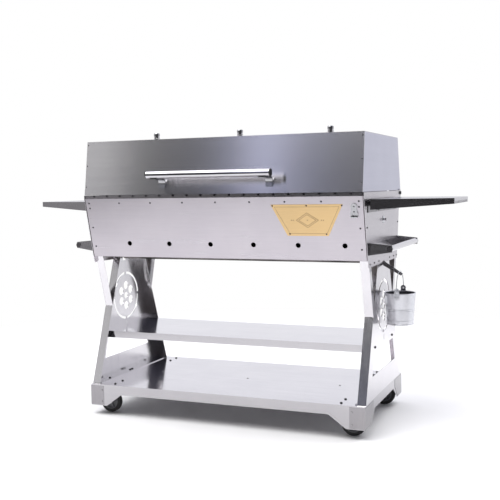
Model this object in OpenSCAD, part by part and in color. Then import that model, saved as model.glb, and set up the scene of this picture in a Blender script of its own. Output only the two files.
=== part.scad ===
// Stainless charcoal rotisserie on a wheeled stand.
// +X runs along the spit, the handle side faces -Y, and the wheels stand on Z = 0.

/* [Body] */
// Length over the two end panels of the firebox
body_l = 1250; // [1100:10:1400]
// Thickness of the sheet panels
sheet = 2; // [1.5:0.5:2.5]
// Height of the hood's lower edge above the floor
hood_z = 970; // [960:5:990]
// Height of the flat top of the hood
hood_top_z = 1202; // [1180:5:1230]
// Half depth of the firebox at its rim
rim_half = 330; // [325:1:335]

/* [Stand] */
// Height of the top face of the base deck
deck_z = 136; // [130:1:142]
// Height of the top face of the lower shelf
shelf_z = 355; // [340:5:380]
// Diameter of the caster wheels
wheel_d = 100; // [94:2:100]

/* [Spit] */
// Diameter of the spit rod
spit_d = 12; // [10:1:14]
// Height of the spit's axis above the floor
spit_z = 852; // [840:2:864]
// Diameter of the spit's end for a hand crank
crank_d = 10; // [8:1:10]

/* [Hidden] */
$fn = 48;

steel = [0.78, 0.77, 0.79];
dark_steel = [0.36, 0.36, 0.38];
black = [0.06, 0.06, 0.065];
brass = [0.92, 0.78, 0.46];
zinc = [0.80, 0.82, 0.83];

end_x = body_l / 2;                      // outer face of each firebox end panel
hood_x = end_x - sheet - 2;              // outer face of each hood end
frame_x = end_x - sheet;                 // outer face of each end frame
frame_t = 3;                             // thickness of the end frames' sheet
panel_x = frame_x - frame_t;             // ends of the long panels
frame_y = -8;                            // centre line of the stand's end frames
box_top = hood_z - 16;                   // top edge of the firebox's long panels
box_low = 700;                           // bottom edge of the firebox's long panels
front_low_y = -269.5;                    // outer face of the front panel at its bottom edge
back_top_y = 286;                        // outer face of the back panel at its top edge
back_low_y = 240;                        // outer face of the back panel at its bottom edge
hinge_y = 303;                           // hood hinge axis
hinge_z = hood_z - 12;
hinge_r = 4;
handle_y = -400;                         // hood handle axis
handle_z = 1051;
handle_r = 15;
handle_half = 271;
tray_z = 941;                            // top face of the side shelves
tray_y = -17;                            // middle of the side shelves
tray_root = 260;                         // half width of the side shelves at the firebox
tray_tip = 177;                          // half width of the side shelves at their outer end
tray_out = 943;                          // outer end of the side shelves
tray_tip_h = 22;                         // height of the folded edges at the outer end
push_z = 748;                            // push handle axis height
push_x = 708;
push_r = 11.5;
push_front = -258;                       // inner faces of the push handle's two arms
push_back = 232;
deck_half = 323.4;                       // half depth of the base deck
shelf_half = 196;
caster_x = 552;                          // swivel axes
caster_y = 258;
trail = 8;                               // wheel axle's offset from the swivel axis
axle_z = wheel_d / 2;
plate_z = deck_z - sheet - 4;            // lower face of the caster plates
bail_x = 694;                            // plane of the bail, over the spout's tip
ear_z = 562;
bucket_y = -18;
bucket_rim_z = 550;
bucket_low_z = 418;
spit_y = -15;
bearing_gap = 0.06;                      // running clearance of the spit in its bearings
fork_x = 280;                            // place of each fork on the spit
y_mid = (handle_r - handle_y - (hinge_y + 25)) / 2;   // moves the middle of the depth onto Y = 0
spout_z = 668;

module placed() { translate([0, y_mid, 0]) children(); }

// A solid of constant section along X, whose outline is given as [Y, Z] points
module along_x(x0, x1, points) {
    translate([x0, 0, 0]) rotate([90, 0, 90]) linear_extrude(x1 - x0) polygon(points);
}

// A solid of constant section along Y, whose outline is given as [X, Z] points
module along_y(y0, y1, points) {
    translate([0, y1, 0]) rotate([90, 0, 0]) linear_extrude(y1 - y0) polygon(points);
}

// A flat strip of thickness t that joins two [Y, Z] points, on the left of the line a to b
module strip(x0, x1, a, b, t) {
    run = norm(b - a);
    side = [-(b[1] - a[1]), b[0] - a[0]] / run * t;
    along_x(x0, x1, [a, b, b + side, a + side]);
}

// Mirrors its children to the side of X and Y that the signs name
module flip(x, y) {
    mirror([x < 0 ? 1 : 0, 0, 0]) mirror([0, y < 0 ? 1 : 0, 0]) children();
}

module rod_x(x0, x1, y, z, r) { translate([x0, y, z]) rotate([0, 90, 0]) cylinder(r = r, h = x1 - x0); }
module rod_y(y0, y1, x, z, r) { translate([x, y0, z]) rotate([-90, 0, 0]) cylinder(r = r, h = y1 - y0); }

function mix(a, b, t) = a + (b - a) * t;
function front_y(z) = mix(front_low_y, -rim_half, (z - box_low) / (box_top - box_low));
front_tilt = atan2(rim_half + front_low_y, box_top - box_low);

// Puts its children on the front panel, with +Z pointing out of the panel
module on_front(x, z) {
    translate([x, front_y(z), z]) rotate([90 + front_tilt, 0, 0]) children();
}

// ---- base ----

deck_low = deck_z - 41;
gusset_low = 42;

module base_deck() color(steel) {
    difference() {
        translate([-panel_x - frame_t, -deck_half, deck_low])
            cube([2 * (panel_x + frame_t), 2 * deck_half, deck_z - deck_low]);
        translate([-panel_x - frame_t + sheet, -deck_half + sheet, deck_low - 1])
            cube([2 * (panel_x + frame_t - sheet), 2 * (deck_half - sheet), deck_z - deck_low - sheet + 1]);
        for (x = [-1, 1], y = [-1, 1], k = [0, 1])
            translate([x * 518, y * (230 + 62 * k), deck_z - 5]) cylinder(r = 3.5, h = 10);
    }
    for (y = [-1, 1], x = [-1, 1])
        flip(x, y) along_y(deck_half - sheet, deck_half,
            [[frame_x, deck_low + 1], [470, deck_low + 1], [545, gusset_low], [frame_x, gusset_low]]);
    for (y = [-1, 1], x = [-1, 1])
        flip(x, y) along_x(frame_x - sheet, frame_x,
            [[deck_half, deck_low + 1], [165, deck_low + 1], [240, gusset_low], [deck_half, gusset_low]]);
}

corner_low = gusset_low + 3;
corner_top = deck_z - 6;
// Thin plates that wrap the corners of the base
module corner_plates() color(dark_steel)
    for (x = [-1, 1], y = [-1, 1]) flip(x, y) {
        translate([frame_x - 64, deck_half, corner_low]) cube([65, 1, corner_top - corner_low]);
        along_x(frame_x, frame_x + 1, [[deck_half + 1, corner_low], [246, corner_low],
            [192, deck_low + 3], [192, corner_top], [deck_half + 1, corner_top]]);
        translate([frame_x - 54, deck_half + 1, 110]) rotate([-90, 0, 0]) cylinder(r = 4, h = 2);
        translate([frame_x - 54, deck_half + 1, 60]) rotate([-90, 0, 0]) cylinder(r = 4, h = 2);
    }

module caster_plates() color(zinc)
    for (x = [-1, 1], y = [-1, 1]) translate([x * caster_x, y * caster_y, plate_z])
        difference() {
            translate([-40, -34, 0]) cube([80, 68, 4]);
            for (a = [-1, 1], b = [-1, 1]) translate([a * 30, b * 25, -1]) cylinder(r = 4, h = 6);
        }

// ---- casters ----

module caster_fork(x, y) color(zinc)
    translate([x * caster_x, y * caster_y, 0]) flip(x, 1) {
        cylinder_top = plate_z - 0.5;
        translate([0, 0, cylinder_top - 12]) cylinder(r = 24, h = 12);
        translate([-18, -19, cylinder_top - 14]) cube([trail + 36, 38, 4]);
        for (s = [-1, 1]) flip(1, s) along_y(15.5, 18.5,
            [[-18, cylinder_top - 11], [trail + 18, cylinder_top - 11], [trail + 10, axle_z - 8],
             [trail - 10, axle_z - 8]]);
        for (s = [-1, 1]) flip(1, s) rod_y(15.5, 18.5, trail, axle_z, 11);
        rod_y(-22, 22, trail, axle_z, 4);
    }

module tyre(x, y) color(black)
    translate([x * (caster_x + trail), y * caster_y, axle_z]) rotate([90, 0, 0])
        rotate_extrude($fn = 96) {
            difference() {
                union() {
                    translate([36, -12]) square([wheel_d / 2 - 39, 24]);
                    translate([wheel_d / 2 - 4, -9]) square([4, 18]);
                }
                translate([0, -20]) square([36, 40]);
            }
        }

module hub(x, y) color([0.5, 0.5, 0.52])
    translate([x * (caster_x + trail), y * caster_y, axle_z]) rotate([90, 0, 0]) difference() {
        union() {
            translate([0, 0, -5]) cylinder(r = 36, h = 10);
            translate([0, 0, -15]) cylinder(r = 11, h = 30);
            rotate_extrude() translate([31, -12]) square([5, 24]);
        }
        translate([0, 0, -20]) cylinder(r = 4.06, h = 40);
    }

// ---- end frames ----

arm_top = 698;
leg_foot = 300;                          // half width of the frame at the deck
waist = 178;                             // half width of the frame at its narrowest
waist_z = 466;
flange_w = 33;                           // depth of the folded edges
arm_half = 246;                          // half width at the top of the two arms
emblem_z = 492;                          // middle of the ring and rosette of holes
ring_r = 112;
bridge = 5;                              // half width of the four bridges that hold the ring
arm_w = 32;                              // width of the sheet in each arm
rail_z = arm_top - 14;                   // lower edge of the strip that joins the two arms
window_top = 162;                        // half widths of the window below the shelf
window_low = 198;

// Half widths at a height: along a leg's outer edge and along an arm's outer edge
function leg_line(z) = mix(leg_foot, waist, (z - deck_z) / (waist_z - deck_z));
function arm_line(z) = mix(waist, arm_half, (z - waist_z) / (arm_top - waist_z));

// Height at which the gap between a leg and an arm begins
fork_z = waist_z + arm_w / ((leg_foot - waist) / (waist_z - deck_z) + (arm_half - waist) / (arm_top - waist_z));

module frame_outline() {
    difference() {
        polygon([[-leg_foot, deck_z], [leg_foot, deck_z], [waist, waist_z], [arm_half, arm_top],
                 [-arm_half, arm_top], [-waist, waist_z]]);
        for (s = [-1, 1]) polygon([[s * leg_line(rail_z), rail_z], [s * (arm_line(rail_z) - arm_w), rail_z],
            [s * leg_line(fork_z), fork_z]]);
        polygon([[-window_top, 325], [window_top, 325], [window_low, 228], [-window_low, 228]]);
        translate([0, emblem_z]) {
            for (k = [0:3]) rotate(90 * k) intersection() {
                difference() { circle(r = ring_r); circle(r = ring_r - 11); }
                translate([bridge, bridge]) square(ring_r);
            }
            for (k = [0:5]) rotate(60 * k + 30) translate([48, 0]) circle(r = 20);
            circle(r = 16);
        }
        translate([-3, 348]) square([6, 22]);
        translate([spit_y - frame_y - 15, spout_z - 8]) square([30, arm_top]);
    }
}

// A folded edge of width w just inside the line from a to b; s is the side it is on
module frame_flange(s, a, b, w) {
    side = [-(b[1] - a[1]), b[0] - a[0]] / norm(b - a) * s;
    along_x(panel_x - w, panel_x + 1, [for (p = [a, b]) p + side * 0.4, for (p = [b, a]) p + side * 2.9]);
}

// Pressed sheet frame: two legs that run up to the firebox and two arms that spread from the waist
module end_frame(rear_flange) translate([0, frame_y, 0]) {
    translate([panel_x, 0, 0]) rotate([90, 0, 90]) linear_extrude(frame_t) frame_outline();
    for (s = [-1, 1]) {
        frame_flange(s, [s * waist, waist_z + 2], [s * arm_half, arm_top], flange_w);
        frame_flange(s, [s * leg_line(deck_z + 1.2), deck_z + 1.2], [s * leg_line(arm_top - 2), arm_top - 2],
            s < 0 ? flange_w : rear_flange);
    }
    along_x(panel_x - 42, panel_x + 1, [[-leg_foot + 4, deck_z], [leg_foot - 4, deck_z],
        [leg_foot - 4, deck_z + 3], [-leg_foot + 4, deck_z + 3]]);
}

module end_frame_left() color(steel) mirror([1, 0, 0]) end_frame(50);
module end_frame_right() color(steel) end_frame(flange_w - 3);

module lower_shelf() color(steel) translate([0, frame_y, 0]) difference() {
    translate([-panel_x, -shelf_half, shelf_z - 30]) cube([2 * panel_x, 2 * shelf_half, 30]);
    translate([-panel_x + sheet, -shelf_half + sheet, shelf_z - 31])
        cube([2 * (panel_x - sheet), 2 * (shelf_half - sheet), 31 - sheet]);
}

module bolt(r, h) { cylinder(r1 = r, r2 = r * 0.8, h = h); }

module frame_bolts() color([0.5, 0.5, 0.52]) {
    for (x = [-1, 1]) {
        for (y = [-200, -20, 0, 200]) translate([x * (panel_x - 22), frame_y + y, deck_z + 3]) bolt(6, 4);
        for (y = [-150, 150]) translate([x * frame_x, frame_y + y, shelf_z - 14])
            rotate([0, 90 * x, 0]) bolt(6, 4);
        for (y = [-1, 1], k = [0, 1]) translate([x * 518, y * (230 + 62 * k), deck_z]) bolt(6, 4);
    }
    for (x = [-430, 0, 430]) translate([x, -10, deck_z]) bolt(5, 2.5);
}

// ---- firebox ----

module firebox_front() color(steel) difference() {
    union() {
        strip(-panel_x, panel_x, [front_low_y, box_low], [-rim_half, box_top], -sheet);
        along_x(-panel_x, panel_x, [[front_low_y, box_low], [front_low_y + 14, box_low],
            [front_low_y + 14, box_low + sheet], [front_low_y, box_low + sheet]]);
    }
    for (i = [0:5]) on_front(53.4 + 193.2 * (i - 2.5), 759.7)
        translate([0, 0, -8]) cylinder(r = 10.5, h = 16);
}

module firebox_back() color(steel) union() {
    strip(-panel_x, panel_x, [back_low_y, box_low], [back_top_y, box_top], sheet);
    along_x(-panel_x, panel_x, [[back_low_y, box_low], [back_low_y - 14, box_low],
        [back_low_y - 14, box_low + sheet], [back_low_y, box_low + sheet]]);
}

end_top = hood_z - 1.5;                  // top edge of the end panels
module end_panel() difference() {
    union() {
        along_x(frame_x, frame_x + sheet, [[-rim_half, end_top], [-rim_half, box_top],
            [front_low_y - 1, box_low], [front_low_y + 8, 672], [back_low_y - 8, 672],
            [back_low_y + 1, box_low], [back_top_y, box_top - 22], [hinge_y, box_top - 20],
            [hinge_y + 12, box_top - 10], [hinge_y + 12, end_top]]);
        rod_x(frame_x, frame_x + sheet, hinge_y, hinge_z, 18);
    }
    rod_x(frame_x - 5, frame_x + 9, hinge_y, hinge_z, hinge_r);
    rod_x(frame_x - 5, frame_x + 9, spit_y, spit_z, 14);
    along_x(frame_x - 5, frame_x + 9, [[spit_y - 16, spout_z + 12], [spit_y + 16, spout_z + 12],
        [spit_y + 16, 660], [spit_y - 16, 660]]);
}

module firebox_end_left() color(steel) mirror([1, 0, 0]) end_panel();
module firebox_end_right() color(steel) end_panel();

floor_gap = 16;
floor_line = [[front_low_y + floor_gap, 703], [spit_y - 52, 698], [spit_y, spout_z],
    [spit_y + 52, 698], [back_low_y - floor_gap, 703]];
module firebox_floor() color(dark_steel)
    along_x(-panel_x, panel_x, concat(floor_line,
        [for (i = [len(floor_line) - 1:-1:0]) floor_line[i] + [0, sheet]]));

rim_front_y = -rim_half + sheet + 0.5;
rim_back_y = back_top_y - sheet - 0.5;
rim_ledge = 14;
notch_front = 9;                         // depths of the notches in the two rims
notch_back = 4;

// The two rim strips with a row of notches that hold skewers
module notched_rims() color(dark_steel) difference() {
    union() {
        for (y = [rim_front_y, rim_back_y - sheet])
            translate([-panel_x, y, box_top - 1]) cube([2 * panel_x, sheet, hood_z + 0.4 - box_top]);
        for (y = [rim_front_y, rim_back_y - rim_ledge])
            translate([-panel_x, y, box_top - 1]) cube([2 * panel_x, rim_ledge, sheet]);
    }
    for (i = [0:18], notch = [[-rim_half - 4, notch_front], [back_top_y - 14, notch_back]])
        translate([63.9 * (i - 9) - 5, notch[0], hood_z - notch[1]]) cube([10, 20, notch[1] + 3]);
}

module rivet(r, h) { rotate_extrude($fn = 24) polygon([[0, 0], [r, 0], [r * 0.7, h * 0.8], [0, h]]); }

module firebox_rivets() color([0.55, 0.55, 0.57]) {
    for (i = [0:8]) on_front(151 * (i - 4), 934.7) rivet(4, 2.2);
    for (x = [-603, 603], z = [913, 829, 745]) on_front(x, z) rivet(4, 2.2);
    for (x = [-1, 1]) {
        for (y = [-281, 254]) translate([x * end_x, y, 831]) rotate([0, 90 * x, 0]) rivet(4, 2.2);
        for (y = [-240, -170, -95, 95, 170, 225])
            translate([x * end_x, y, 685]) rotate([0, 90 * x, 0]) rivet(4, 2.2);
    }
}

// Blank trapezoid plate held by five rivets
module name_plate() color(brass) {
    on_front(390, 861) translate([0, 0, 0.01]) union() {
        linear_extrude(1.5) polygon([[-148, 65], [150, 65], [84, -64], [-87, -64]]);
        for (x = [-142, 0, 144]) translate([x, 59, 1.5]) rivet(3.5, 1.6);
        for (x = [-78, 74]) translate([x, -57, 1.5]) rivet(3.5, 1.6);
    }
}

module bottle_opener() color([0.62, 0.62, 0.64]) on_front(583, 898) translate([0, 0, 0.01]) difference() {
    union() {
        translate([0, 18, 0]) cylinder(r = 13, h = 3);
        translate([0, -12, 0]) cylinder(r = 16, h = 3);
        translate([-12, -14, 0]) cube([24, 30, 3]);
        translate([-13, -26, 3]) cube([26, 5, 9]);
        translate([0, 18, 3]) rivet(4, 2.5);
        translate([0, -4, 3]) rivet(4, 2.5);
    }
    translate([0, -14, 1.5]) cylinder(r = 8, h = 20);
}

grate_z = 742;
grate_half = 610;
grate_front = front_y(grate_z) + sheet + 2;
grate_back = 242;
grate_bars = 41;
module charcoal_grate() color(black) union() {
    for (y = [grate_front, grate_back - 10]) translate([-grate_half, y, grate_z])
        cube([2 * grate_half, 10, 8]);
    for (i = [0:grate_bars - 1])
        translate([-grate_half + i * (2 * grate_half - 10) / (grate_bars - 1), grate_front + 5, grate_z + 1])
            cube([10, grate_back - grate_front - 10, 6]);
}

module drain_spout() color(dark_steel) {
    tip = [700, 620];
    root = [panel_x + 0.5, spout_z - 4];
    union() {
        along_y(spit_y - 11, spit_y + 11, [root, tip, tip + [1, 2], root + [0, 2]]);
        for (y = [spit_y - 11, spit_y + 9])
            along_y(y, y + 2, [root, tip, tip + [3, 7], root + [0, 16]]);
    }
}

// ---- handles and rails ----

module push_handle_frame() {
    for (y = [push_front - 2, push_back]) along_y(y, y + 2, [[end_x, 721], [push_x - 6, push_z - 15],
        [push_x + 9, push_z - 13], [push_x + 9, push_z + 13], [push_x - 6, push_z + 15], [end_x, 770]]);
    translate([end_x, push_front - 2, 724]) cube([2, push_back - push_front + 4, 42]);
}

module push_handle_frames() color(dark_steel) {
    push_handle_frame();
    mirror([1, 0, 0]) push_handle_frame();
}

module push_handle_tubes() color(steel)
    for (x = [-1, 1]) difference() {
        rod_y(push_front, push_back, x * push_x, push_z, push_r);
        rod_y(push_front - 1, push_back + 1, x * push_x, push_z, push_r - 1.5);
    }

module push_handle_plugs() color(dark_steel)
    for (x = [-1, 1], y = [push_front - 4, push_back + 2])
        rod_y(y, y + 2, x * push_x, push_z, push_r);

module shelf_rails() color(dark_steel)
    for (x = [-1, 1]) flip(x, 1) {
        along_y(-275, 215, [[end_x, tray_z - 52], [end_x + 3, tray_z - 52], [end_x + 3, tray_z - 8],
            [end_x, tray_z - 8]]);
        for (y = [-120, 100]) translate([end_x + 3, y - 4, tray_z - 46]) cube([7, 28, 4]);
        for (y = [-120, 100]) translate([end_x + 7, y - 4, tray_z - 46]) cube([3, 28, 16]);
    }

// A side shelf: tapered top sheet, aprons and a slotted outer flange; it hooks on the rail
shelf_gap = 11;
tray_in = end_x + shelf_gap;

// Plan of the side shelf, drawn in by the amount inset on its two slanted sides
module tray_plan(inset) {
    polygon([[tray_in, -tray_root + inset], [tray_out, -tray_tip + inset],
        [tray_out, tray_tip - inset], [tray_in, tray_root - inset]]);
}

module side_shelf() translate([0, tray_y, 0]) union() {
    translate([0, 0, tray_z - sheet]) linear_extrude(sheet) tray_plan(0);
    intersection() {
        translate([0, 0, tray_z - 50]) linear_extrude(49) difference() {
            tray_plan(0);
            tray_plan(sheet);
        }
        along_y(-tray_root, tray_root, [[tray_in, tray_z - 41], [tray_out, tray_z - tray_tip_h],
            [tray_out, tray_z], [tray_in, tray_z]]);
    }
    difference() {
        translate([tray_out - sheet, -tray_tip, tray_z - tray_tip_h]) cube([sheet, 2 * tray_tip, tray_tip_h - 1]);
        for (i = [0:9]) translate([tray_out - 10, 32 * (i - 4.5) - 6, tray_z - tray_tip_h - 1]) cube([20, 12, 11]);
    }
    translate([tray_in, -tray_root + 1, tray_z - 28]) cube([sheet, 2 * tray_root - 2, 27]);
    for (y = [-101, 119]) translate([end_x + 3.4, y, tray_z - 10]) cube([tray_in - end_x - 2, 20, 4]);
    for (y = [-101, 119]) translate([end_x + 3.4, y, tray_z - 34]) cube([3.2, 20, 28]);
}

module side_shelf_left() color(steel) mirror([1, 0, 0]) side_shelf();
module side_shelf_right() color(steel) side_shelf();

// ---- spit and drive ----

bearing_end = end_x + 1.5;
module spit_bearings() color(zinc)
    for (x = [-1, 1]) flip(x, 1) difference() {
        union() {
            rod_x(frame_x - 8, bearing_end, spit_y, spit_z, 13.9);
            rod_x(end_x, bearing_end, spit_y, spit_z, 16);
        }
        rod_x(frame_x - 20, end_x + 20, spit_y, spit_z, spit_d / 2 + bearing_gap);
    }

module spit_rod() color([0.7, 0.7, 0.72]) union() {
    rod_x(-end_x - 30, bearing_end, spit_y, spit_z, spit_d / 2);
    rod_x(bearing_end, bearing_end + 12, spit_y, spit_z, crank_d / 2);
}

module drive_socket() color(brass) difference() {
    rod_x(-end_x - 30, -end_x - 10, spit_y, spit_z, 12);
    rod_x(-end_x - 31, -end_x - 9, spit_y, spit_z, spit_d / 2);
}

module fork_body() difference() {
    union() {
        rod_x(-14, 14, 0, 0, 15);
        translate([-4, -46, -5]) cube([8, 92, 10]);
        for (y = [-42, 42]) rod_x(-4, 110, y, 0, 3.5);
        for (y = [-42, 42]) translate([110, y, 0]) rotate([0, 90, 0]) cylinder(r1 = 3.5, r2 = 0.8, h = 16);
    }
    rod_x(-20, 20, 0, 0, spit_d / 2 + bearing_gap);
    translate([8, 0, 0]) cylinder(r = 3, h = 30);
}

module thumb_screw() union() {
    translate([8, 0, spit_d / 2 + 0.3]) cylinder(r = 3, h = 16);
    translate([8, 0, 20]) cylinder(r = 8, h = 5);
    translate([6.5, -12, 22]) cube([3, 24, 11]);
}

module fork_left() color(dark_steel) translate([-fork_x, spit_y, spit_z]) fork_body();
module fork_right() color(dark_steel)
    translate([fork_x, spit_y, spit_z]) mirror([1, 0, 0]) fork_body();
module thumb_screw_left() color(zinc) translate([-fork_x, spit_y, spit_z]) thumb_screw();
module thumb_screw_right() color(zinc)
    translate([fork_x, spit_y, spit_z]) mirror([1, 0, 0]) thumb_screw();

motor_x0 = -end_x - 36;
motor_x1 = -end_x - 118;
module motor_bracket() color(steel) union() {
    for (y = [-70, 16]) translate([-end_x - 2, y, 800]) cube([2, 24, 84]);
    for (y = [-58, 26]) translate([motor_x0, y, 800]) cube([36, 2, 84]);
    translate([motor_x1 + 8, -58, 798]) cube([110, 86, 2]);
}

module motor_housing() color(black) difference() {
    translate([motor_x1, -54, 800]) cube([motor_x0 - motor_x1, 78, 92]);
    rod_x(motor_x0 - 20, motor_x0 + 1, spit_y, spit_z, 9);
    translate([motor_x1 - 1, -29, 866]) cube([9, 28, 18]);
}

module motor_switch() color([0.75, 0.1, 0.08])
    along_y(-26, -4, [[motor_x1 - 2, 868], [motor_x1 + 6, 868], [motor_x1 + 6, 882],
        [motor_x1 - 5, 882]]);

module power_inlet() color(black) difference() {
    translate([motor_x1 - 4, -28, 815]) cube([4, 30, 26]);
    translate([motor_x1 - 5, -24, 819]) cube([4, 22, 18]);
}

// ---- hood ----

hood_front_y = -rim_half - 1;
hood_back_y = hinge_y + 25;
hood_top_front = -296;                   // front and back edges of the hood's flat top
hood_top_back = 277;
hood_outline = [[hood_front_y, hood_z], [hood_top_front, hood_top_z], [hood_top_back, hood_top_z],
    [hood_back_y, hood_z]];
hood_inside = [[hood_front_y + sheet, hood_z], [hood_top_front + sheet, hood_top_z - sheet],
    [hood_top_back - sheet, hood_top_z - sheet], [hood_back_y - sheet, hood_z]];

function beyond(a, b) = b + (b - a) * 0.01;   // a point a little past b on the line from a

hem_t = 1.5;                             // folded hem along the hood's front edge
hem_h = 25;

module hood_cover() color([0.62, 0.65, 0.70]) union() {
    difference() {
        along_x(-hood_x, hood_x, hood_outline);
        along_x(-hood_x - 1, hood_x + 1, [beyond(hood_inside[1], hood_inside[0]), hood_inside[1],
            hood_inside[2], beyond(hood_inside[2], hood_inside[3])]);
    }
    along_x(-hood_x, hood_x, [[hood_front_y + 0.5, hood_z], [hood_front_y - hem_t, hood_z],
        [hood_face(hood_z + hem_h) - hem_t, hood_z + hem_h], [hood_face(hood_z + hem_h) + 0.5, hood_z + hem_h]]);
}

module hood_ends() color([0.70, 0.73, 0.78])
    for (x = [-1, 1]) flip(x, 1) difference() {
        union() {
            along_x(hood_x - sheet, hood_x,
                concat(hood_inside, [[hinge_y, hood_z - 2], [back_top_y + 6, hood_z]]));
            rod_x(hood_x - sheet, hood_x, hinge_y, hinge_z, 11);
            translate([hood_x - sheet, hinge_y - 11, hinge_z]) cube([sheet, 22, 16]);
        }
        rod_x(hood_x - 9, hood_x + 9, hinge_y, hinge_z, hinge_r + 0.06);
    }

module hinge_bolts() color(black)
    for (x = [-1, 1]) flip(x, 1) union() {
        rod_x(hood_x - 8, end_x + 2, hinge_y, hinge_z, hinge_r);
        rod_x(end_x, end_x + 5, hinge_y, hinge_z, 7.5);
        rod_x(hood_x - 9, hood_x - 4, hinge_y, hinge_z, 7);
    }

hood_tilt = atan2(hood_top_front - hood_front_y, hood_top_z - hood_z);
function hood_face(z) = mix(hood_front_y, hood_top_front, (z - hood_z) / (hood_top_z - hood_z));

module on_hood(x, z) {
    translate([x, hood_face(z), z]) rotate([90 - hood_tilt, 0, 0]) children();
}

module hood_rivets() color([0.45, 0.45, 0.47])
    for (x = [-1, 1]) {
        for (z = [1187, 1097, 1006]) on_hood(x * 615, z) rivet(3, 1.8);
    }

module hood_handle_tube() color([0.85, 0.85, 0.87]) difference() {
    rod_x(-handle_half, handle_half, handle_y, handle_z, handle_r);
    rod_x(-handle_half - 1, handle_half + 1, handle_y, handle_z, handle_r - 2);
}

module hood_handle_plugs() color(black)
    for (x = [-1, 1]) flip(x, 1) union() {
        rod_x(handle_half - 14, handle_half, handle_y, handle_z, handle_r - 2);
        rod_x(handle_half, handle_half + 4, handle_y, handle_z, handle_r);
    }

// Each bracket is a bent strap that runs back from under the tube and down the hood's face
strap_t = 5;
strap_x = 240;
strap_z = handle_z - handle_r + 1;       // upper face of the strap
strap_foot_z = 997;                      // lower edge of the strap's foot
strap_bend = 24;                         // outer radius of the strap's bend
bend_z = strap_z - strap_bend;
bend_mid = [hood_face(bend_z) - strap_bend, bend_z];
strap_outline = concat(
    [[handle_y - 10, strap_z]],
    [for (a = [90:-7.5:0]) bend_mid + strap_bend * [cos(a), sin(a)]],
    [[hood_face(strap_foot_z), strap_foot_z], [hood_face(strap_foot_z) - strap_t, strap_foot_z]],
    [for (a = [0:7.5:90]) bend_mid + (strap_bend - strap_t) * [cos(a), sin(a)]],
    [[handle_y - 10, strap_z - strap_t]]);
module hood_handle_brackets() color(steel)
    for (x = [-strap_x, strap_x]) difference() {
        along_x(x - 15, x + 15, strap_outline);
        rod_x(x - 20, x + 20, handle_y, handle_z, handle_r);
    }

vent_y = -50;
module vent_collars() color(steel)
    for (x = [-411, 0, 411]) translate([x, vent_y, hood_top_z]) difference() {
        cylinder(r = 13, h = 29);
        translate([0, 0, 2]) cylinder(r = 11, h = 30);
        for (k = [0:5], z = [10, 20]) rotate(60 * k) translate([8, 0, z]) rotate([0, 90, 0])
            cylinder(r = 2.6, h = 9);
    }

module vent_caps() color(dark_steel)
    for (x = [-411, 0, 411]) translate([x, vent_y, hood_top_z + 29]) rotate_extrude()
        polygon(concat([[0, 0], [13.5, 0], [13.5, 9]], [for (a = [0:15:90]) [8.5 + 5 * cos(a), 9 + 5 * sin(a)]],
            [[0, 14]]));

// ---- bucket ----

bucket_r = 65.5;
bucket_low_r = 55;
function bucket_wall(z) = mix(bucket_low_r, bucket_r - 2, (z - bucket_low_z) / (bucket_rim_z - bucket_low_z));
bead_z = 478;

module bucket() color(zinc) difference() {
    union() {
        translate([bail_x, bucket_y, 0]) rotate_extrude($fn = 96) polygon([
            [0, bucket_low_z + 4], [bucket_low_r - 1, bucket_low_z + 4], [bucket_low_r - 1, bucket_low_z],
            [bucket_low_r + 1.5, bucket_low_z], [bucket_low_r + 1.5, bucket_low_z + 4],
            [bucket_wall(bead_z - 3), bead_z - 3], [bucket_wall(bead_z) + 2, bead_z],
            [bucket_wall(bead_z + 3), bead_z + 3], [bucket_r - 2, bucket_rim_z - 4],
            [bucket_r, bucket_rim_z - 4], [bucket_r, bucket_rim_z], [bucket_r - 3.5, bucket_rim_z],
            [bucket_low_r - 2, bucket_low_z + 6], [0, bucket_low_z + 6]]);
        for (s = [-1, 1]) flip_ear(s) {
            rod_y(bucket_r - 3, bucket_r - 1, 0, ear_z, 11);
            translate([-11, bucket_r - 3, bucket_rim_z - 22]) cube([22, 2, ear_z - bucket_rim_z + 22]);
        }
    }
    rod_y(bucket_y - 90, bucket_y + 90, bail_x, ear_z, 2.2);
}

module flip_ear(s) { translate([bail_x, bucket_y, 0]) mirror([0, s < 0 ? 1 : 0, 0]) children(); }

// The wire bail: an arch of round wire on two short legs, with its ends turned in through the ears
wire_r = 1.6;
arch_top = 638;
bail_half = bucket_r + 3;
module bucket_bail() color([0.6, 0.6, 0.62]) union() {
    translate([bail_x, bucket_y, arch_top - bail_half]) rotate([90, 0, 90])
        rotate_extrude(angle = 180) translate([bail_half, 0]) circle(r = wire_r, $fn = 24);
    for (s = [-1, 1]) flip_ear(s) {
        translate([0, bail_half, ear_z]) cylinder(r = wire_r, h = arch_top - bail_half - ear_z);
        translate([0, bail_half, ear_z]) sphere(r = wire_r);
        rod_y(bucket_r - 6, bail_half, 0, ear_z, wire_r);
    }
}

placed() base_deck();
placed() corner_plates();
placed() end_frame_left();
placed() end_frame_right();
placed() lower_shelf();
placed() frame_bolts();
placed() firebox_front();
placed() firebox_back();
placed() firebox_end_left();
placed() firebox_end_right();
placed() firebox_floor();
placed() notched_rims();
placed() firebox_rivets();
placed() name_plate();
placed() bottle_opener();
placed() charcoal_grate();
placed() drain_spout();
placed() push_handle_frames();
placed() push_handle_tubes();
placed() push_handle_plugs();
placed() shelf_rails();
placed() spit_bearings();
placed() motor_bracket();
placed() motor_housing();
placed() power_inlet();
placed() hinge_bolts();
placed() caster_plates();
placed() hood_cover();
placed() hood_ends();
placed() hood_rivets();
placed() hood_handle_tube();
placed() hood_handle_brackets();
placed() hood_handle_plugs();
placed() vent_collars();
placed() vent_caps();
placed() spit_rod();
placed() drive_socket();
placed() fork_left();
placed() fork_right();
placed() thumb_screw_left();
placed() thumb_screw_right();
placed() motor_switch();
placed() side_shelf_left();
placed() side_shelf_right();
placed() bucket();
placed() bucket_bail();
placed() caster_fork(-1, -1);  // caster_fork_fl
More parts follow.
